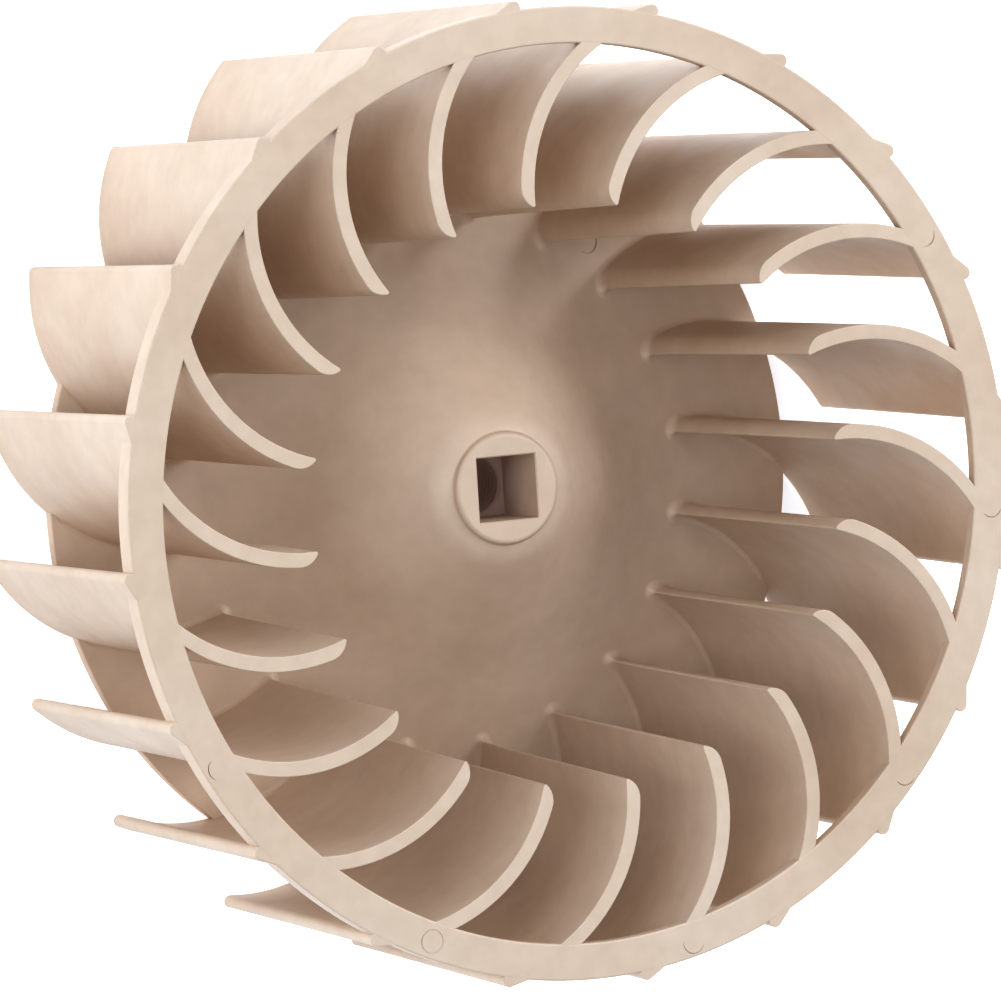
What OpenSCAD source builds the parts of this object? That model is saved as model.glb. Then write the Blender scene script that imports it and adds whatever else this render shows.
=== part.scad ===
// Blower wheel: a moulded centrifugal fan wheel in one piece.
// Curved blades stand on a bell-shaped back disc and are tied together by a front ring.
// A raised hub face in the middle of the bell has a square drive socket with a round shaft bore below it.
// The wheel lies on its back. Z is its axis, z = 0 is its rear plane and the intake ring faces up.

/* [Ring] */
// Outside diameter of the front ring
ring_d = 190.5; // [188:0.5:192]
// Inside diameter of the front ring, the intake opening
ring_inner_d = 176; // [172:0.5:180]
// Thickness of the ring's flat flange
flange_t = 2.7; // [2:0.1:4]
// Height of the lip round the ring's outer edge
lip_h = 5.3; // [4.5:0.1:8]
// Width of that lip
lip_w = 2.5; // [1.6:0.1:3]
// Bevel of the ring's edges
ring_edge = 0.3; // [0.2:0.05:0.5]

/* [Wheel] */
// Overall depth along the axis
depth = 75.4; // [68:0.2:90]
// Turn of the whole blade set about the axis, in degrees
phase = 75.87; // [0:0.01:90]

/* [Blades] */
// Number of blades
blade_count = 20; // [16:1:22]
// Radius of the blade's convex side
convex_r = 35.89; // [35:0.01:37]
// Radius of the blade's concave side
concave_r = 33.73; // [33.2:0.01:34]
// Distance from the wheel's axis to the centre of the convex side
camber_r = 64.75; // [64:0.05:65.5]
// Direction of that centre, in degrees
camber_a = -21.06; // [-22:0.01:-20]
// Radial offset of the concave side's centre
concave_dx = -0.32; // [-0.5:0.01:-0.1]
// Sideways offset of the concave side's centre
concave_dy = -0.76; // [-0.9:0.01:-0.6]
// Rounding of the blade's inner end
inner_round_r = 4.2; // [3:0.1:5]
// Angle on the convex side where the inner rounding starts, in degrees
inner_a = 90.8; // [88:0.1:94]
// Angle on the convex side where the outer end turns straight, in degrees
outer_a = 17.7; // [16:0.1:20]
// Length of the straight outer end, at the front
outer_len = 3.4; // [3:0.1:4.5]
// How much shorter the outer end is at the rear plane
outer_slant = 1.1; // [0.5:0.1:1.4]
// How much further round the inner end reaches at the rear plane, in degrees
inner_slant = 4.8; // [2:0.1:5.5]
// How far the blades' front edges lie behind the ring's front face
front_step = 0.1; // [0.05:0.01:0.2]

/* [Back disc and bell] */
// Diameter of the back disc
disc_d = 165.8; // [160:0.1:170]
// Thickness of the disc at its rim
rim_t = 2.8; // [2:0.1:3.5]
// Width of the rear rim that the wheel rests on
rim_w = 3.2; // [2.5:0.1:4.5]
// Height at which the bell's hollow flare would run level
disc_h = 4.8; // [4:0.1:6]
// Radius at which the flare would run level
flare_start_r = 74; // [71:0.5:76]
// Radius of the bell's hollow flare
flare_r = 58; // [54:0.5:60]
// Steepest slope of the bell, in degrees
bell_slope = 43; // [41:0.5:46]
// Radius of the bell's round shoulder
shoulder_r = 15; // [12:0.1:17]
// Wall thickness of the disc and bell
wall_t = 2.7; // [2:0.1:3.2]

/* [Hub] */
// Diameter of the raised hub face
boss_d = 22.6; // [21:0.1:24]
// Diameter of the raised hub at its foot
boss_foot_d = 23.4; // [22:0.1:26]
// Height of the hub face above the rear plane
boss_z = 41.8; // [41:0.1:43]
// Height of the hub face above the top of the bell's shoulder
hub_step = 1; // [0.6:0.1:2]
// Side of the square drive socket
socket_side = 12.9; // [12.7:0.05:13.3]
// Depth of the square drive socket
socket_depth = 16; // [12:0.5:20]
// Turn of the socket's corners about the axis, in degrees
socket_a = 34.5; // [0:0.5:90]
// Diameter of the round shaft bore below the socket
bore_d = 11.5; // [9:0.1:12]
// Outside diameter of the hub sleeve behind the bell
sleeve_d = 23; // [22:0.1:25]
// Height of the sleeve's rear end above the rear plane
sleeve_z = 7; // [4:0.5:12]

/* [Hidden] */
$fn = 96;
pitch = 360 / blade_count;
R = ring_d / 2;
disc_r = disc_d / 2;
function u(a) = [cos(a), sin(a)];
// blade section, in a frame where the blade's ring end starts at angle 0
cv = camber_r * u(camber_a);
cc = cv + [concave_dx, concave_dy];
// where an arc runs smoothly into a line or another arc, the two overlap by this much and so cross at a clean corner
lap = 0.01;
// the inner end leans along the blade as it goes to the rear: its rounding's axis is a chord of the arc it follows
tip_r = convex_r - inner_round_r + 0.05;
tip_mid = inner_a + inner_slant / 2;
tip_c = cv + tip_r * u(inner_a);
tip_tilt = atan(2 * tip_r * sin(inner_slant / 2) / depth);
end_tilt = atan(outer_slant / depth);
od = u(outer_a);
oe = [sin(outer_a), -cos(outer_a)];
odo = od * (cc - cv);
// distance from the convex centre to the concave side at the outer end
in_t = odo + sqrt(odo * odo - (cc - cv) * (cc - cv) + concave_r * concave_r);
end_out = convex_r - lap;
end_in = in_t - 0.06;
cap_r = (end_out - end_in) / 2;
cap_c = cv + (end_in + cap_r) * od + outer_len * oe;
past_a = outer_a - 3;
// bell profile: coned disc, hollow flare, straight slope and round shoulder
fl_c = [flare_start_r, disc_h + flare_r];
fl_p = fl_c - flare_r * [sin(bell_slope), cos(bell_slope)];
sh_top = boss_z - hub_step;
slope_len = (sh_top - fl_p[1] - shoulder_r * (1 - cos(bell_slope))) / sin(bell_slope);
sh_p = fl_p + slope_len * [-cos(bell_slope), sin(bell_slope)];
sh_c = sh_p - shoulder_r * [sin(bell_slope), cos(bell_slope)];
fl_pi = fl_c - (flare_r + wall_t) * [sin(bell_slope), cos(bell_slope)];
sh_pi = sh_c + (shoulder_r - wall_t) * [sin(bell_slope), cos(bell_slope)];
cone_v = fl_c - [disc_r, rim_t];
cone_a = 180 - atan2(cone_v[1], cone_v[0]) - asin(flare_r / norm(cone_v));
cone_p = fl_c - flare_r * [sin(cone_a), cos(cone_a)];
cone_pi = fl_c - (flare_r + wall_t) * [sin(cone_a), cos(cone_a)];
rim_ri = disc_r - rim_w;
rim_hi = rim_t + rim_w * tan(cone_a) - wall_t / cos(cone_a);

module band_section() {
    intersection() {
        translate(cv) circle(r = convex_r);
        polygon([cv, cv + 80 * u(past_a), cv + 80 * u(54), cv + 80 * u(inner_a + inner_slant + 3)]);
    }
}

// straight outer end, drawn about the centre of its round cap
module end_section() {
    polygon([-(outer_len + 3) * oe, -cap_r * od - (outer_len - 0.3) * oe, -cap_r * od, cap_r * od, cap_r * od - (outer_len - 0.3) * oe]);
    circle(r = cap_r + lap);
}

// stands its children on a line through c at the front, leaning by t degrees towards compass direction d at the rear
module leaning(c, d, t) {
    translate([c[0], c[1], depth]) rotate(a = -t, v = [-sin(d), cos(d), 0]) translate([0, 0, -depth - 6]) children();
}

module blade() {
    h = depth + 12;
    difference() {
        union() {
            intersection() {
                translate([0, 0, -6]) linear_extrude(height = h) band_section();
                leaning(tip_c, tip_mid + 90, tip_tilt) rotate([0, 0, tip_mid]) translate([-50, -70, -2]) cube([75, 70, h + 4]);
            }
            leaning(tip_c, tip_mid + 90, tip_tilt) cylinder(r = inner_round_r, h = h);
            leaning(cap_c, outer_a + 90, end_tilt) linear_extrude(height = h) end_section();
        }
        translate([cc[0], cc[1], -8]) cylinder(r = concave_r, h = h + 4);
    }
}

module blades() {
    intersection() {
        for (i = [0:blade_count - 1]) rotate([0, 0, phase - i * pitch]) blade();
        cylinder(r = R + 12, h = depth - front_step);
    }
}

module ring() {
    c = ring_edge;
    ri = ring_inner_d / 2;
    lip_ri = R - lip_w;
    rotate_extrude()
        polygon([[ri + c, depth], [R - c, depth], [R, depth - c], [R, depth - lip_h + c], [R - c, depth - lip_h],
                 [lip_ri + c, depth - lip_h], [lip_ri, depth - lip_h + c], [lip_ri, depth - flange_t],
                 [ri + c, depth - flange_t], [ri, depth - flange_t + c], [ri, depth - c]]);
}

module bell_profile() {
    difference() {
        polygon([[0, 0], [disc_r, 0], [disc_r, rim_t], cone_p, fl_p, sh_p, sh_c + [0, 1], [0, sh_c[1] + 1]]);
        translate(fl_c) circle(r = flare_r + lap);
    }
    intersection() {
        translate(sh_c) circle(r = shoulder_r + lap);
        translate([0, sh_c[1] - 8]) square([sh_c[0] + shoulder_r + 2, shoulder_r + 10]);
    }
    square([sh_c[0], sh_top]);
    polygon([[0, 0], [boss_foot_d / 2, 0], [boss_foot_d / 2, sh_top - 1.2], [boss_d / 2, boss_z - 0.3], [boss_d / 2 - 0.3, boss_z], [0, boss_z]]);
}

module hollow_profile() {
    difference() {
        polygon([[sleeve_d / 2, -2], [rim_ri, -2], [rim_ri, rim_hi], cone_pi, fl_pi, sh_pi, [sleeve_d / 2, sh_pi[1]]]);
        translate(fl_c) circle(r = flare_r + wall_t + lap);
    }
    intersection() {
        translate(sh_c) circle(r = shoulder_r - wall_t + lap);
        translate([sleeve_d / 2, sh_c[1] - 6]) square([sh_c[0] + shoulder_r, shoulder_r + 10]);
    }
}

module blower_wheel() {
    color([0.87, 0.80, 0.72])
    difference() {
        union() {
            rotate_extrude() bell_profile();
            blades();
            ring();
        }
        rotate_extrude() hollow_profile();
        translate([0, 0, -2]) cylinder(d = sleeve_d, h = sleeve_z + 2);
        translate([0, 0, sleeve_z - 1]) cylinder(d = bore_d, h = boss_z);
        translate([0, 0, boss_z - socket_depth]) rotate([0, 0, socket_a - 45])
            translate([-socket_side / 2, -socket_side / 2, 0]) cube([socket_side, socket_side, socket_depth + 5]);
    }
}

blower_wheel();
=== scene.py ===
import math
import bpy
import bmesh
import numpy as np
from mathutils import Matrix, Vector


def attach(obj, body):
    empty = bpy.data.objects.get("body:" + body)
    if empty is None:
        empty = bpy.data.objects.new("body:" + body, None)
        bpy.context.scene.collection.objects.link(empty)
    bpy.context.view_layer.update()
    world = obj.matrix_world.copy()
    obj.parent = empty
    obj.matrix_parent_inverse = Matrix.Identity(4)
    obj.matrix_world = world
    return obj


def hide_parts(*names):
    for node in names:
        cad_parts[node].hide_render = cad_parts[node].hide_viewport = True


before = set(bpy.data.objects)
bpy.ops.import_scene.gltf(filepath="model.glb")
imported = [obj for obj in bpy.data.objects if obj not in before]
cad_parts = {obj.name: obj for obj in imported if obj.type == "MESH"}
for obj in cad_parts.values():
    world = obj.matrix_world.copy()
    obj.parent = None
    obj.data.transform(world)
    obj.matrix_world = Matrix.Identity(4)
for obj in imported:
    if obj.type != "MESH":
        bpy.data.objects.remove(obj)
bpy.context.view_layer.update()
MM = 0.001

# ---------------------------------------------------------------- sizes, in millimetres, in the CAD frame
DEPTH = 75.4
RING_R, RING_RI = 95.25, 88.0
FLANGE_T, LIP_H, LIP_W = 2.7, 5.3, 2.5
PHASE, PITCH, BLADES = 75.87, 18.0, 20
R_VEX, R_CAVE = 35.89, 33.73
CV = 64.75 * np.array([math.cos(math.radians(-21.06)), math.sin(math.radians(-21.06))])
CC = CV + np.array([-0.32, -0.76])
R_IN = 4.2            # rounding of the blade's inner end
A_IN, A_OUT = math.radians(90.8), math.radians(17.7)
L_OUT = 3.4
IN_SLANT = math.radians(4.7)     # how much further round the blade's inner end reaches at the rear
OUT_SLANT = 1.05                 # how much shorter the outer end is at the rear
SHIFT = np.array([-0.09, -0.14]) / 75.4   # drift of the whole section, per millimetre behind the front
THIN = 0.13 / 75.4               # draft of each side, per millimetre behind the front
Q_TIP = 0.42          # rounding of the sharp corner of the blade's inner end
EDGE = 0.2            # rounding of the blades' front and rear edges
FILLET = 1.25         # fillet where a blade meets the disc
DISC_R, RIM_T, RIM_W, DISC_H = 82.9, 2.8, 3.2, 4.8
FL_R0, FL_R, SLOPE, SH_R = 74.0, 58.0, math.radians(43), 15.0
WALL = 2.7
BOSS_Z, BOSS_R, BOSS_FOOT = 41.8, 11.2, 11.4
SOCKET, SOCKET_D, SOCKET_A = 12.9, 16.0, 34.5
BORE_R, SLEEVE_R, SLEEVE_Z = 5.75, 11.5, 7.0

FL_C = np.array([FL_R0, DISC_H + FL_R])
SN = np.array([math.sin(SLOPE), math.cos(SLOPE)])
FL_P = FL_C - FL_R * SN
# the straight slope is as long as it takes for the round shoulder to end 1 mm below the hub face
SLOPE_L = (BOSS_Z - 0.3 - FL_P[1] - SH_R * (1 - math.cos(SLOPE))) / math.sin(SLOPE)
SH_P = FL_P + SLOPE_L * np.array([-math.cos(SLOPE), math.sin(SLOPE)])
SH_C = SH_P - SH_R * SN
# the disc's front is a shallow cone that runs smoothly into the flare
_v = FL_C - np.array([DISC_R, RIM_T])
CONE = math.pi - math.atan2(_v[1], _v[0]) - math.asin(FL_R / math.hypot(*_v))
CN = np.array([math.sin(CONE), math.cos(CONE)])
CONE_P = FL_C - FL_R * CN


# ---------------------------------------------------------------- mesh helpers
def make(name, verts, faces, normals):
    """A mesh object with one outward normal kept for each face corner."""
    me = bpy.data.meshes.new(name)
    me.from_pydata((np.asarray(verts, float) * MM).tolist(), [], faces)
    att = me.attributes.new("nrm", "FLOAT_VECTOR", "CORNER")
    att.data.foreach_set("vector", np.asarray(normals, np.float32).reshape(-1))
    me.update()
    ob = bpy.data.objects.new(name, me)
    bpy.context.scene.collection.objects.link(ob)
    return ob


def arc(c, r, a0, a1, n, out=1.0):
    """Points of an arc with their normals: rows of x, y, nx, ny."""
    rows = []
    for i in range(n + 1):
        a = a0 + (a1 - a0) * i / n
        rows.append((c[0] + r * math.cos(a), c[1] + r * math.sin(a), out * math.cos(a), out * math.sin(a)))
    return rows


def rounded(points, seg=4):
    """A chain of straight runs with rounded corners. points are (r, z, corner radius); the solid lies to the left.
    Gives a list of pieces, each a list of rows (r, z, nr, nz)."""
    pts = [np.array(p[:2], float) for p in points]
    rad = [p[2] for p in points]
    pieces, last = [], pts[0]
    for i in range(1, len(pts)):
        d = pts[i] - pts[i - 1]
        d = d / np.linalg.norm(d)
        n = np.array([d[1], -d[0]])
        end = pts[i]
        if i < len(pts) - 1 and rad[i] > 0:
            e = pts[i + 1] - pts[i]
            e = e / np.linalg.norm(e)
            turn = math.atan2(d[0] * e[1] - d[1] * e[0], d @ e)
            cut = rad[i] * math.tan(abs(turn) / 2)
            end = pts[i] - d * cut
        if np.linalg.norm(end - last) > 1e-6:
            pieces.append([(last[0], last[1], n[0], n[1]), (end[0], end[1], n[0], n[1])])
        if i < len(pts) - 1 and rad[i] > 0:
            side = 1.0 if turn > 0 else -1.0
            c = end - n * rad[i] * side
            a0 = math.atan2(*(n * side)[::-1])
            pieces.append(arc(c, rad[i], a0, a0 + turn, seg, side))
            last = np.array(pieces[-1][-1][:2])
        else:
            last = end
    return pieces


def refine(pieces, step):
    """Splits long straight pieces."""
    out = []
    for p in pieces:
        if len(p) == 2:
            a, b = np.array(p[0]), np.array(p[1])
            n = max(1, int(math.ceil(np.linalg.norm(b[:2] - a[:2]) / step)))
            p = [tuple(a + (b - a) * i / n) for i in range(n + 1)]
        out.append(p)
    return out


def revolve(name, pieces, seg, closed=False, inward=False, phase=0.0):
    """Turns a profile about Z. An open profile starts and ends on the axis; a closed one ends where it starts."""
    pts, quads = [], []
    for p in pieces:
        for j in range(len(p) - 1):
            a, b = p[j], p[j + 1]
            if math.hypot(a[0] - b[0], a[1] - b[1]) < 1e-7:
                continue
            if not pts:
                pts.append(a[:2])
            i0 = len(pts) - 1
            if closed and math.hypot(b[0] - pts[0][0], b[1] - pts[0][1]) < 1e-6:
                i1 = 0
            else:
                pts.append(b[:2])
                i1 = len(pts) - 1
            quads.append((i0, i1, a[2:], b[2:]))
    verts, index = [], {}
    for i, (r, z) in enumerate(pts):
        if r < 1e-7:
            index[i] = [len(verts)] * seg
            verts.append((0, 0, z))
        else:
            index[i] = list(range(len(verts), len(verts) + seg))
            for k in range(seg):
                t = 2 * math.pi * k / seg + phase
                verts.append((r * math.cos(t), r * math.sin(t), z))
    faces, norms = [], []
    s = -1.0 if inward else 1.0
    for i0, i1, n0, n1 in quads:
        for k in range(seg):
            k2 = (k + 1) % seg
            t, t2 = 2 * math.pi * k / seg + phase, 2 * math.pi * (k + 1) / seg + phase
            corner = [(index[i0][k], n0, t), (index[i0][k2], n0, t2), (index[i1][k2], n1, t2), (index[i1][k], n1, t)]
            if index[i0][0] == index[i0][-1] and seg > 1 and pts[i0][0] < 1e-7:
                corner = [(index[i0][0], n0, (t + t2) / 2), corner[2], corner[3]]
            elif pts[i1][0] < 1e-7:
                corner = [corner[0], corner[1], (index[i1][0], n1, (t + t2) / 2)]
            faces.append([c[0] for c in corner])
            norms += [(s * c[1][0] * math.cos(c[2]), s * c[1][0] * math.sin(c[2]), s * c[1][1]) for c in corner]
    return make(name, verts, faces, norms)


def boolean(a, b, how):
    """a becomes a with b joined on or cut away; b is removed."""
    m = a.modifiers.new("b", "BOOLEAN")
    m.operation = how
    m.object = b
    m.solver = "MANIFOLD" if "MANIFOLD" in [e.identifier for e in m.bl_rna.properties["solver"].enum_items] else "EXACT"
    dg = bpy.context.evaluated_depsgraph_get()
    me = bpy.data.meshes.new_from_object(a.evaluated_get(dg), preserve_all_data_layers=True, depsgraph=dg)
    old = a.data
    a.modifiers.clear()
    a.data = me
    bpy.data.meshes.remove(old)
    bm_data = b.data
    bpy.data.objects.remove(b)
    bpy.data.meshes.remove(bm_data)
    return a


# ---------------------------------------------------------------- the bell's front surface
def bell_z(r):
    r = np.asarray(r, float)
    cone = RIM_T + (DISC_R - r) * math.tan(CONE)
    q = np.clip(FL_R ** 2 - (FL_R0 - r) ** 2, 1, None)
    return np.where(r < CONE_P[0], FL_C[1] - np.sqrt(q), cone)


def bell_n(r):
    """Radial and upward part of the surface's normal."""
    r = np.asarray(r, float)
    nr = np.where(r < CONE_P[0], (FL_R0 - r) / FL_R, CN[0])
    return nr, np.sqrt(1 - nr ** 2)


def bell_front(off=0.0):
    """Rows along the flare, off = distance inside the surface, and the shoulder's first angle."""
    a_end = -math.pi / 2 - SLOPE
    flare = [(x, z, -nr, -nz) for x, z, nr, nz in arc(FL_C, FL_R + off, -math.pi / 2 - CONE, a_end, 30)]
    a0 = math.pi / 2 - SLOPE
    return flare, a0


# ---------------------------------------------------------------- one blade
def outline(ia, lout, d):
    """The blade's section, grown by d: rows x, y, nx, ny, counter-clockwise."""
    od = np.array([math.cos(A_OUT), math.sin(A_OUT)])
    oe = np.array([math.sin(A_OUT), -math.cos(A_OUT)])
    o = od @ (CC - CV)
    in_t = o + math.sqrt(o * o - (CC - CV) @ (CC - CV) + R_CAVE ** 2)
    cap_r = (R_VEX - in_t) / 2
    cap_c = CV + (in_t + cap_r) * od + lout * oe
    tc = CV + (R_VEX - R_IN) * np.array([math.cos(ia), math.sin(ia)])
    r1, r2 = R_IN - Q_TIP, R_CAVE + Q_TIP
    w = CC - tc
    D = np.linalg.norm(w)
    a = (r1 * r1 - r2 * r2 + D * D) / (2 * D)
    h = math.sqrt(max(r1 * r1 - a * a, 0))
    u = w / D
    cands = [tc + a * u + h * np.array([-u[1], u[0]]), tc + a * u - h * np.array([-u[1], u[0]])]
    qc = min(cands, key=lambda p: p[0])
    at = lambda v: math.atan2(v[1], v[0])
    rows = arc(CV, R_VEX + d, A_OUT, ia, 26)
    t1 = at(qc - tc) % (2 * math.pi)
    rows += arc(tc, R_IN + d, ia, t1, 9)[1:]
    q1 = at(CC - qc) % (2 * math.pi)
    rows += arc(qc, Q_TIP + d, t1, q1, 4)[1:]
    n_up = len(rows)
    c0, c1 = at(qc - CC), at(CV + in_t * od - CC)
    rows += arc(CC, R_CAVE - d, c0, c1, 26, -1.0)[1:]
    p = CV + (in_t - d) * od
    rows += [(*(p + oe * lout * 0.5), *(-od)), ]
    rows += arc(cap_c, cap_r + d, A_OUT + math.pi, A_OUT + 2 * math.pi, 9)
    p = CV + (R_VEX + d) * od
    rows += [(*(p + oe * lout * 0.5), *od), ]
    return np.array(rows)


def blades():
    verts, faces, norms = [], [], []
    base = outline(A_IN, L_OUT, 0.0)
    n = len(base)

    def row(d, z):
        """Rows at height z (one number, or one for each point) with the section grown by d (likewise)."""
        back = DEPTH - np.mean(z)
        g = outline(A_IN + IN_SLANT * back / DEPTH, L_OUT - OUT_SLANT * back / DEPTH, 0.0)
        xy = g[:, :2] + g[:, 2:] * (np.reshape(d, (-1, 1)) - THIN * back) + SHIFT * (DEPTH - np.reshape(z, (-1, 1)))
        return xy, g[:, 2:]

    up = lambda nn, z: np.column_stack([nn, np.full(len(nn), 0.0)]) + np.column_stack([np.zeros((len(nn), 2)), nn @ SHIFT])
    levels = []     # (xyz, normals)

    def add(d, z, tilt=0.0, nb=None):
        xy, nn = row(d, z)
        wall = up(nn, z)
        wall /= np.linalg.norm(wall, axis=1, keepdims=True)
        if nb is not None:
            t = np.reshape(tilt, (-1, 1))
            nrm = wall * np.cos(t) + nb * np.sin(t)
        else:
            nrm = wall * math.cos(tilt) + np.array([0, 0, 1.0]) * math.sin(tilt)
        nrm /= np.linalg.norm(nrm, axis=1, keepdims=True)
        levels.append((np.column_stack([xy, np.broadcast_to(np.reshape(z, (-1,)), (n,)) if np.ndim(z) else np.full(n, z)]), nrm))

    for i in range(4):                       # rounded rear edge
        t = math.pi / 2 * (1 - i / 3)
        add(-EDGE * (1 - math.cos(t)), EDGE * (1 - math.sin(t)), -t)
    xy, nn = row(0.0, 6.0)
    rr = np.hypot(xy[:, 0], xy[:, 1])
    s = np.clip((DISC_R - 1.2 - rr) / 2.0, 0, 1)
    s = s * s * (3 - 2 * s)
    f = 0.04 + (FILLET - 0.04) * s
    # the fillet runs out further at the sharp corner of the inner end
    f = f * (1 + 0.9 * np.exp(-(np.hypot(*(xy - xy[36]).T) / 2.6) ** 2))
    out = lambda d: np.hypot(*(xy + nn * np.reshape(d, (-1, 1))).T)
    smooth = lambda d: bell_z(out(d))
    t80 = math.radians(80)
    low = smooth(f * (1 - math.cos(t80)))
    add(0.0, np.clip(low - 1.7, 0.7, None))
    rad = xy / rr[:, None]
    br, bz = bell_n(out(f))
    nb = np.column_stack([rad * br[:, None], bz])
    add(f * (1 - math.cos(t80)), low - 0.5, t80 * s, nb)
    for k in range(7):
        t = t80 * (1 - k / 6)
        d = f * (1 - math.cos(t))
        add(d, smooth(d) + f * (1 - math.sin(t)), t * s, nb)
    for z in (20, 34, 48, 62):
        add(0.0, float(z))
    top = DEPTH - 0.03
    for i in range(5):                       # rounded front edge
        t = math.pi / 2 * i / 4
        add(-EDGE * (1 - math.cos(t)), top - EDGE + EDGE * math.sin(t), t)
    L = len(levels)
    n1 = 27 + 9                              # first point of the small corner
    faces_1, nidx = [], []
    for j in range(L - 1):
        for i in range(n):
            i2 = (i + 1) % n
            faces_1.append([(j, i), (j, i2), (j + 1, i2), (j + 1, i)])
    # end caps: strips between the two sides, and one flat piece at each end
    vex = list(range(0, 27))                 # outer end to inner end
    cave0 = 27 + 9 + 4 - 1                   # last point of the small corner
    cave = list(range(cave0, cave0 + 27))    # inner end to outer end
    cap = []
    for k in range(26):
        cap.append([vex[k], vex[k + 1], cave[26 - k - 1], cave[26 - k]])
    cap.append(list(range(26, cave0 + 1)))
    cap.append(list(range(cave0 + 26, n)) + [0])
    for q in cap:
        faces_1.append([(0, i) for i in reversed(q)])
        faces_1.append([(L - 1, i) for i in q])
    for b in range(BLADES):
        t = math.radians(PHASE - b * PITCH)
        M = np.array([[math.cos(t), -math.sin(t), 0], [math.sin(t), math.cos(t), 0], [0, 0, 1]])
        off = len(verts)
        N = []
        for xyz, nrm in levels:
            verts.extend((xyz @ M.T).tolist())
            N.append(nrm @ M.T)
        for fc in faces_1:
            faces.append([off + j * n + i for j, i in fc])
            if len({j for j, _ in fc}) == 1:
                z = -1.0 if fc[0][0] == 0 else 1.0
                norms += [(0, 0, z)] * len(fc)
            else:
                norms += [tuple(N[j][i]) for j, i in fc]
    return make("blades", verts, faces, norms)


# ---------------------------------------------------------------- the turned solids
def bell_solid():
    e = 0.35
    outer = rounded([(0, 0, 0), (DISC_R, 0, e), (DISC_R, RIM_T, e), (*CONE_P, 0)], 4)
    flare, a0 = bell_front()
    straight = [(*FL_P, *SN), (*SH_P, *SN)]
    # the shoulder runs on to the foot of the boss
    foot_a = math.acos((BOSS_FOOT + 0.6 - SH_C[0]) / SH_R)
    shoulder = arc(SH_C, SH_R, a0, foot_a, 16)
    fr, fz = shoulder[-1][0], shoulder[-1][1]
    side = rounded([(fr, fz, 0), (BOSS_FOOT, fz + 0.2, 0.7), (BOSS_R, BOSS_Z, 1.1), (0, BOSS_Z, 0)], 7)
    side[0][0] = (*side[0][0][:2], *shoulder[-1][2:])
    pieces = refine(outer, 3.0) + [flare] + refine([straight], 1.5) + [shoulder] + side
    return revolve("bell", pieces, 240)


def hollow_solid():
    flare = [(x, z, -nr, -nz) for x, z, nr, nz in arc(FL_C, FL_R + WALL, -math.pi / 2 - CONE, -math.pi / 2 - SLOPE, 24)]
    a0 = math.pi / 2 - SLOPE
    r_i = SH_R - WALL
    a1 = math.acos((SLEEVE_R + 1.0 - SH_C[0]) / r_i)
    sh = arc(SH_C, r_i, a0, a1, 12)
    p, q = (flare[-1][:2]), (sh[0][:2])
    top = sh[-1][:2]
    rim_ri = DISC_R - RIM_W
    rim_hi = RIM_T + RIM_W * math.tan(CONE) - WALL / math.cos(CONE)
    low = rounded([(0, -3, 0), (rim_ri, -3, 0), (rim_ri, rim_hi, 0.25), (*(FL_C - (FL_R + WALL) * CN), 0)], 4)
    inner = rounded([(top[0], top[1], 0), (SLEEVE_R, top[1] + 0.1, 0.6), (SLEEVE_R - 0.3, SLEEVE_Z, 0), (0, SLEEVE_Z, 0)], 4)
    return revolve("hollow", low + [flare] + refine([[(*p, *SN), (*q, *SN)]], 1.5) + [sh] + inner, 120, inward=True)


def ring_solid():
    e = 0.4
    d = DEPTH
    pts = [(RING_R, d - LIP_H, e), (RING_R, d, e), (RING_RI, d, e), (RING_RI, d - FLANGE_T, e),
           (RING_R - LIP_W, d - FLANGE_T, 0.5), (RING_R - LIP_W, d - LIP_H, e)]
    # start and end in the middle of a straight run, so that every corner is rounded
    mid = (RING_R, d - LIP_H / 2, 0)
    pieces = rounded([mid] + pts[1:] + [pts[0]] + [mid], 5)
    return revolve("ring", pieces, 300, closed=True)


def socket_solid():
    """A square prism with a small bevel at its mouth."""
    h = SOCKET / 2
    b = 0.25
    z0, z1 = BOSS_Z - SOCKET_D, BOSS_Z + 0.6
    rings = [(h, z0), (h, BOSS_Z - b), (h + b, BOSS_Z + 0.0001), (h + b, z1)]
    rot = math.radians(SOCKET_A - 45)
    verts, faces, norms = [], [], []
    cor = [(-1, -1), (1, -1), (1, 1), (-1, 1)]
    turn = lambda x, y: (x * math.cos(rot) - y * math.sin(rot), x * math.sin(rot) + y * math.cos(rot))
    for w, z in rings:
        for cx, cy in cor:
            verts.append((*turn(cx * w, cy * w), z))
    faces.append([3, 2, 1, 0]); norms += [(0, 0, 1)] * 4
    faces.append([12, 13, 14, 15]); norms += [(0, 0, -1)] * 4
    for j in range(3):
        tilt = math.radians(45) if j == 1 else 0.0
        for k in range(4):
            k2 = (k + 1) % 4
            nx, ny = [(0, -1), (1, 0), (0, 1), (-1, 0)][k]
            nx, ny = turn(nx, ny)
            faces.append([j * 4 + k, j * 4 + k2, j * 4 + 4 + k2, j * 4 + 4 + k])
            norms += [(-nx * math.cos(tilt), -ny * math.cos(tilt), math.sin(tilt))] * 4
    return make("socket", verts, faces, norms)


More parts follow.
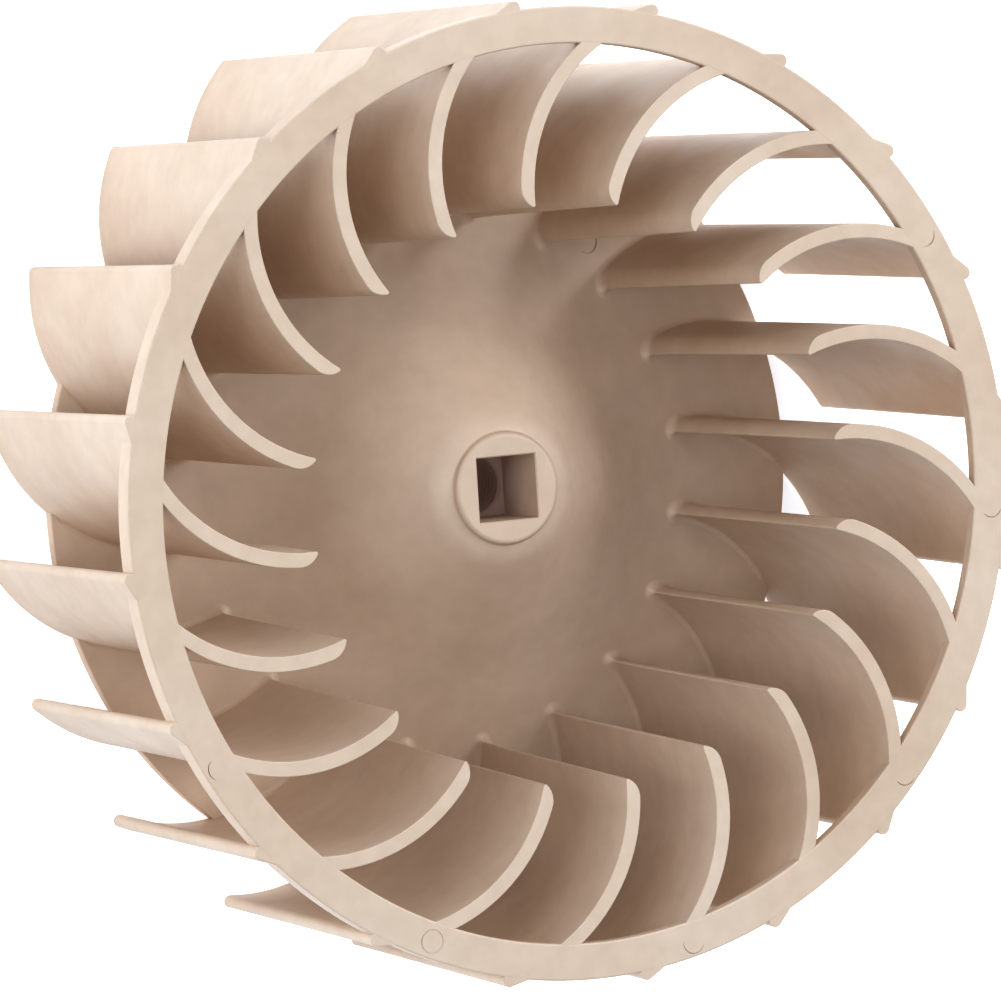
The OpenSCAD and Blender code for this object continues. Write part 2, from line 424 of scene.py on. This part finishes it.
def bore_solid():
    """The shaft bore, with the V grooves of a thread that starts below the socket's floor."""
    z1 = BOSS_Z - SOCKET_D
    b = 0.4
    pts = [(0, SLEEVE_Z - 1, 0), (BORE_R + 0.8 + 1, SLEEVE_Z - 1, 0), (BORE_R, SLEEVE_Z + 0.8, 0)]
    pitch = 1.6
    n = int((z1 - 1.2 - (SLEEVE_Z + 1.6)) / pitch)
    for i in range(n):
        z = z1 - 1.2 - (n - i) * pitch
        pts += [(BORE_R, z + 0.1, 0), (BORE_R + 0.6, z + pitch / 2, 0.1), (BORE_R, z + pitch - 0.1, 0)]
    pts += [(BORE_R, z1 - b, 0), (BORE_R + b, z1 + 0.0001, 0), (BORE_R + b, z1 + 0.5, 0), (0, z1 + 0.5, 0)]
    return revolve("bore", rounded(pts, 3), 96, inward=True)


def marks():
    """Shallow round witness lines: grooves that are deepest at one side and run out to nothing."""
    verts, faces, norms = [], [], []

    def groove(cx, cy, r0, r1, side, half, depth, surface, least=None, seg=64):
        """side = compass direction of the deepest place, half = degrees to each side at which the groove runs out."""
        off = len(verts)
        c0 = math.cos(math.radians(half))
        for r, hi in ((r0, False), (r0, True), (r1, True), (r1, False)):
            for k in range(seg):
                t = 2 * math.pi * k / seg
                x, y = cx + r * math.cos(t), cy + r * math.sin(t)
                d = depth * (math.cos(t - math.radians(side)) - c0) / (1 - c0)
                d = max(d, -0.1 if least is None else least)
                verts.append((x, y, surface(x, y) + 0.4 if hi else surface(x, y) - d))
        for j in range(4):
            j2 = (j + 1) % 4
            for k in range(seg):
                k2 = (k + 1) % seg
                faces.append([off + j * seg + k, off + j2 * seg + k, off + j2 * seg + k2, off + j * seg + k2])
                t, t2 = 2 * math.pi * k / seg, 2 * math.pi * k2 / seg
                for q in (t, t, t2, t2):
                    n = {0: (math.cos(q), math.sin(q), 0), 1: (0, 0, -1), 2: (-math.cos(q), -math.sin(q), 0), 3: (0, 0, 1)}[j]
                    norms.append(n)

    face = lambda x, y: DEPTH
    # place round the ring in blade pitches, distance from the axis, direction of the deep side, half width, depth, least depth
    for k, r, side, half, depth, least in ((3, 91.45, -52, 62, 0.34, None), (5, 91.95, -88, 66, 0.36, None), (7, 92.2, -98, 62, 0.40, None),
                                           (9, 92.25, -112, 96, 0.30, None), (11, 91.85, 140, 120, 0.20, 0.10), (13, 92.0, 178, 62, 0.34, None)):
        t = math.radians(PHASE - k * PITCH - 2.8)
        groove(r * math.cos(t), r * math.sin(t), 2.17, 2.37, side, half, depth, face, least)
    bz = lambda x, y: float(bell_z(math.hypot(x, y)))
    t = math.radians(40.4)
    groove(60.2 * math.cos(t), 60.2 * math.sin(t), 2.38, 2.62, -50, 92, 0.34, bz)
    return make("marks", verts, faces, norms)


# ---------------------------------------------------------------- the wheel, one closed mesh
wheel = bell_solid()
wheel.name = "blower_wheel_visual"
wheel = boolean(wheel, blades(), "UNION")
wheel = boolean(wheel, ring_solid(), "UNION")
wheel = boolean(wheel, hollow_solid(), "DIFFERENCE")
wheel = boolean(wheel, bore_solid(), "DIFFERENCE")
wheel = boolean(wheel, socket_solid(), "DIFFERENCE")
wheel = boolean(wheel, marks(), "DIFFERENCE")


def finish_mesh(ob):
    me = ob.data
    bm = bmesh.new()
    bm.from_mesh(me)
    bmesh.ops.dissolve_degenerate(bm, dist=2e-6, edges=bm.edges)
    big = [f for f in bm.faces if len(f.verts) > 4]
    bmesh.ops.triangulate(bm, faces=big)
    open_edges = sum(1 for e in bm.edges if len(e.link_faces) != 2)
    bm.to_mesh(me)
    bm.free()
    me.update()
    n = len(me.loops)
    want = np.zeros(n * 3, np.float32)
    me.attributes["nrm"].data.foreach_get("vector", want)
    want = want.reshape(-1, 3).astype(float)
    length = np.linalg.norm(want, axis=1)
    face_n = np.zeros(len(me.polygons) * 3, np.float32)
    me.polygons.foreach_get("normal", face_n)
    face_n = face_n.reshape(-1, 3)
    total = np.zeros(len(me.polygons), np.int32)
    me.polygons.foreach_get("loop_total", total)
    own = np.repeat(face_n, total, axis=0)
    want /= np.maximum(length, 1e-9)[:, None]
    good = (length > 0.3) & ((want * own).sum(1) > 0.25)
    print("wheel:", len(me.vertices), "vertices,", len(me.polygons), "faces, open edges", open_edges,
          "corners on the face's own normal", int((~good).sum()))
    want[~good] = own[~good]
    for p in me.polygons:
        p.use_smooth = True
    me.normals_split_custom_set(want.tolist())
    me.attributes.remove(me.attributes["nrm"])
    return ob


finish_mesh(wheel)


# ---------------------------------------------------------------- material
def plastic():
    mat = bpy.data.materials.new("cream_plastic")
    mat.use_nodes = True
    nt = mat.node_tree
    N = nt.nodes
    bsdf = N["Principled BSDF"]
    link = nt.links.new
    tc = N.new("ShaderNodeTexCoord")

    def noise(scale, detail, rough, vec=None, dist=0.0):
        t = N.new("ShaderNodeTexNoise")
        t.inputs["Scale"].default_value = scale
        t.inputs["Detail"].default_value = detail
        t.inputs["Roughness"].default_value = rough
        t.inputs["Distortion"].default_value = dist
        link(vec or tc.outputs["Object"], t.inputs["Vector"])
        return t

    def ramp(stops, fac):
        r = N.new("ShaderNodeValToRGB")
        r.color_ramp.elements[0].position, r.color_ramp.elements[0].color = stops[0][0], stops[0][1]
        r.color_ramp.elements[1].position, r.color_ramp.elements[1].color = stops[-1][0], stops[-1][1]
        for pos, col in stops[1:-1]:
            e = r.color_ramp.elements.new(pos)
            e.color = col
        link(fac, r.inputs["Fac"])
        return r

    cloud = noise(22.0, 3.0, 0.55)
    tint = ramp([(0.32, (0.675, 0.527, 0.404, 1)), (0.5, (0.715, 0.566, 0.442, 1)), (0.68, (0.735, 0.596, 0.475, 1))], cloud.outputs["Fac"])
    fine = noise(210.0, 2.0, 0.6)
    tone = ramp([(0.35, (0.955, 0.95, 0.945, 1)), (0.65, (1.0, 1.0, 1.0, 1))], fine.outputs["Fac"])
    mul = N.new("ShaderNodeMix")
    mul.data_type = "RGBA"
    mul.blend_type = "MULTIPLY"
    mul.inputs["Factor"].default_value = 1.0
    link(tint.outputs["Color"], mul.inputs[6])
    link(tone.outputs["Color"], mul.inputs[7])
    # painted shade: the base colour is darkened in the shaft bore and at the socket's floor, standing in for the shade
    # that falls deep inside the hub
    sep = N.new("ShaderNodeSeparateXYZ")
    link(tc.outputs["Object"], sep.inputs["Vector"])
    flat = N.new("ShaderNodeCombineXYZ")
    link(sep.outputs["X"], flat.inputs["X"])
    link(sep.outputs["Y"], flat.inputs["Y"])
    reach = N.new("ShaderNodeVectorMath")
    reach.operation = "LENGTH"
    link(flat.outputs["Vector"], reach.inputs[0])
    near = N.new("ShaderNodeMapRange")
    near.inputs["From Min"].default_value = 0.0100
    near.inputs["From Max"].default_value = 0.0094
    link(reach.outputs["Value"], near.inputs["Value"])
    deep = N.new("ShaderNodeMapRange")
    deep.inputs["From Min"].default_value = 0.0360
    deep.inputs["From Max"].default_value = 0.0245
    link(sep.outputs["Z"], deep.inputs["Value"])
    painted_shade_mask = N.new("ShaderNodeMath")
    painted_shade_mask.operation = "MULTIPLY"
    link(near.outputs["Result"], painted_shade_mask.inputs[0])
    link(deep.outputs["Result"], painted_shade_mask.inputs[1])
    # painted shade: multiplies the base colour by a darker tint where the mask near the axis and deep in the hub is on
    painted_bore_shade = N.new("ShaderNodeMix")
    painted_bore_shade.data_type = "RGBA"
    painted_bore_shade.blend_type = "MULTIPLY"
    link(painted_shade_mask.outputs["Value"], painted_bore_shade.inputs["Factor"])
    link(mul.outputs[2], painted_bore_shade.inputs[6])
    painted_bore_shade.inputs[7].default_value = (0.88, 0.83, 0.92, 1)
    link(painted_bore_shade.outputs[2], bsdf.inputs["Base Color"])
    rough = noise(60.0, 1.0, 0.6)
    mr = N.new("ShaderNodeMapRange")
    mr.inputs["From Min"].default_value = 0.3
    mr.inputs["From Max"].default_value = 0.7
    mr.inputs["To Min"].default_value = 0.40
    mr.inputs["To Max"].default_value = 0.54
    link(rough.outputs["Fac"], mr.inputs["Value"])
    link(mr.outputs["Result"], bsdf.inputs["Roughness"])
    b1 = N.new("ShaderNodeBump")
    b1.inputs["Strength"].default_value = 0.10
    b1.inputs["Distance"].default_value = 0.00008
    grain = noise(1500.0, 1.0, 0.5)
    link(grain.outputs["Fac"], b1.inputs["Height"])
    b2 = N.new("ShaderNodeBump")
    b2.inputs["Strength"].default_value = 0.05
    b2.inputs["Distance"].default_value = 0.0012
    wave = noise(30.0, 0.0, 0.4)
    link(wave.outputs["Fac"], b2.inputs["Height"])
    link(b1.outputs["Normal"], b2.inputs["Normal"])
    link(b2.outputs["Normal"], bsdf.inputs["Normal"])
    bsdf.inputs["IOR"].default_value = 1.49
    bsdf.inputs["Specular IOR Level"].default_value = 0.42
    bsdf.inputs["Subsurface Weight"].default_value = 0.0
    return mat


wheel.data.materials.clear()
wheel.data.materials.append(plastic())
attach(wheel, "root")
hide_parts("blower_wheel")


# ---------------------------------------------------------------- floor, light, camera
def floor():
    me = bpy.data.meshes.new("floor")
    s, z = 4.0, -0.0004
    me.from_pydata([(-s, -s, z), (s, -s, z), (s, s, z), (-s, s, z)], [], [(0, 1, 2, 3)])
    ob = bpy.data.objects.new("floor", me)
    bpy.context.scene.collection.objects.link(ob)
    mat = bpy.data.materials.new("pale_floor")
    mat.use_nodes = True
    b = mat.node_tree.nodes["Principled BSDF"]
    b.inputs["Base Color"].default_value = (0.93, 0.93, 0.93, 1)
    b.inputs["Roughness"].default_value = 0.9
    b.inputs["Specular IOR Level"].default_value = 0.1
    b.inputs["Emission Color"].default_value = (0.846, 0.916, 1.0, 1)
    b.inputs["Emission Strength"].default_value = 0.60
    me.materials.append(mat)
    return ob


floor()

world = bpy.data.worlds.new("studio")
bpy.context.scene.world = world
world.use_nodes = True
bg = world.node_tree.nodes["Background"]
bg.inputs["Color"].default_value = (0.846, 0.916, 1.0, 1)
bg.inputs["Strength"].default_value = 0.55

CAM = Vector((-0.5139, 0.1875, 1.1912))
FWD = Vector((0.4022, -0.1489, -0.9034)).normalized()
UP = Vector((0.2680, 0.9626, -0.0394))
RIGHT = FWD.cross(UP).normalized()
UP = RIGHT.cross(FWD).normalized()


def soft_light(name, direction, power):
    """A round soft light 1.7 m from the wheel, in the given direction."""
    ld = bpy.data.lights.new(name, "AREA")
    ld.shape = "DISK"
    ld.size = 0.8
    ld.energy = power
    ld.color = (0.846, 0.916, 1.0)
    ob = bpy.data.objects.new(name, ld)
    bpy.context.scene.collection.objects.link(ob)
    d = Vector(direction).normalized()
    ob.location = Vector((0, 0, 0.04)) + d * 1.7
    ob.rotation_euler = (-d).to_track_quat("-Z", "Y").to_euler()
    return ob


soft_light("upper_right", (0.63, 0.32, 0.70), 13.8)
soft_light("low_right", (0.83, 0.42, 0.25), 6.4)
soft_light("left", (-0.70, 0.18, 0.70), 6.9)
soft_light("low_left", (-0.93, 0.25, 0.25), 5.1)
soft_light("upper_left", (-0.36, 0.61, 0.70), 3.5)
soft_light("front", (0.0, 0.0, 1.0), 4.0)

cd = bpy.data.cameras.new("camera")
cd.sensor_width = 36.0
cd.sensor_fit = "HORIZONTAL"
cd.lens = 228.9
cd.clip_start, cd.clip_end = 0.05, 20.0
cam = bpy.data.objects.new("camera", cd)
bpy.context.scene.collection.objects.link(cam)
cam.matrix_world = Matrix(((RIGHT.x, UP.x, -FWD.x, CAM.x), (RIGHT.y, UP.y, -FWD.y, CAM.y), (RIGHT.z, UP.z, -FWD.z, CAM.z), (0, 0, 0, 1)))
bpy.context.scene.camera = cam

vs = bpy.context.scene.view_settings
vs.view_transform = "Standard"
vs.look = "None"
vs.exposure = 0.0
vs.gamma = 0.7
